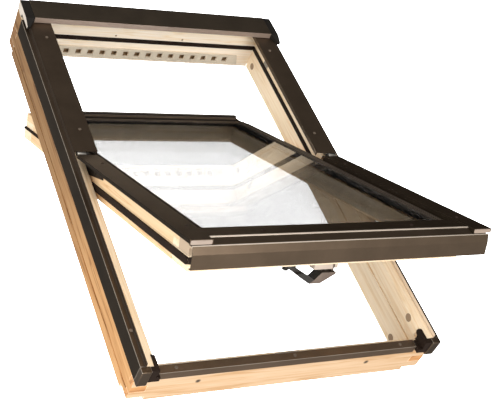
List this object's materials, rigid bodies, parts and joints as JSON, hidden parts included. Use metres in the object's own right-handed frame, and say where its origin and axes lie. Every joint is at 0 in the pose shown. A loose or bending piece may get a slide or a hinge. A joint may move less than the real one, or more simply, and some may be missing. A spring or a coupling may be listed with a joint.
{
  "type": "centre-pivot roof window",
  "caption": "Timber roof window whose glazed sash turns on side pivots in a finger-jointed frame with dark metal covers; shown part open.",
  "frame": {"origin": "middle of the frame on the plane of its room side", "axes": "+X to the right seen from outside, +Y up the roof slope, +Z out of the roof"},
  "size_m": [0.784, 1.196, 0.6665],
  "materials": {
    "pine": "clear-lacquered pine, light honey, straight grain",
    "cover_brown": "satin brown-grey coat on aluminium sheet",
    "black_seal": "matt black-brown seal",
    "black_plastic": "matt black moulding",
    "glass": "clear float glass",
    "spacer_aluminium": "dull aluminium",
    "pale_plastic": "pale grey-beige plastic",
    "grey_plastic": "grey-beige satin plastic",
    "beige_plastic": "tan plastic bushing",
    "handle_metal": "satin metal",
    "zinc_steel": "zinc-plated steel"
  },
  "bodies": {
    "frame": {"frame_head": "pine", "frame_sill": "pine", "frame_jamb_left": "pine", "frame_jamb_right": "pine", "side_cladding_left": "cover_brown", "side_cladding_right": "cover_brown", "cladding_end_cap_left": "cover_brown", "cladding_end_cap_right": "cover_brown", "upper_side_cover_left": "cover_brown", "upper_side_cover_right": "cover_brown", "head_hood": "cover_brown", "hood_end_cap_left": "black_plastic", "hood_end_cap_right": "black_plastic", "sill_cladding": "cover_brown", "sill_corner_seal_left": "black_seal", "sill_corner_seal_right": "black_seal", "frame_gasket_left": "black_seal", "frame_gasket_right": "black_seal", "frame_gasket_top": "black_seal", "vent_strip": "grey_plastic", "strike_plate": "zinc_steel", "jamb_plugs": "beige_plastic", "jamb_keepers": "zinc_steel", "frame_hinge_left": "zinc_steel", "frame_hinge_right": "zinc_steel", "frame_screws": "zinc_steel"},
    "sash": {"sash_top_rail": "pine", "sash_bottom_rail": "pine", "sash_stile_left": "pine", "sash_stile_right": "pine", "outer_pane": "glass", "inner_pane": "glass", "spacer_top": "spacer_aluminium", "spacer_bottom": "spacer_aluminium", "spacer_left": "spacer_aluminium", "spacer_right": "spacer_aluminium", "glazing_profile_left": "cover_brown", "glazing_profile_right": "cover_brown", "sash_top_cover": "cover_brown", "sash_bottom_cover": "cover_brown", "bottom_end_block_left": "pale_plastic", "bottom_end_block_right": "pale_plastic", "lower_side_cover_left": "cover_brown", "lower_side_cover_right": "cover_brown", "lower_cover_end_left": "pale_plastic", "lower_cover_end_right": "pale_plastic", "sash_gasket_left": "black_seal", "sash_gasket_right": "black_seal", "sash_gasket_bottom": "black_seal", "sash_hinge_left": "zinc_steel", "sash_hinge_right": "zinc_steel", "lock_body": "zinc_steel", "sash_screws": "zinc_steel"},
    "handle": {"handle": "handle_metal"}
  },
  "joints": [
    {"name": "sash_pivot", "type": "hinge", "parent": "frame", "child": "sash", "pos_m": [0, 0.0226, 0.1378], "axis": [-1, 0, 0], "range_deg": [-30.4, 129.6]},
    {"name": "handle_turn", "type": "hinge", "parent": "sash", "child": "handle", "pos_m": [0, -0.48574, 0.3041], "axis": [1, 0, 0], "range_deg": [0, 40]}
  ]
}
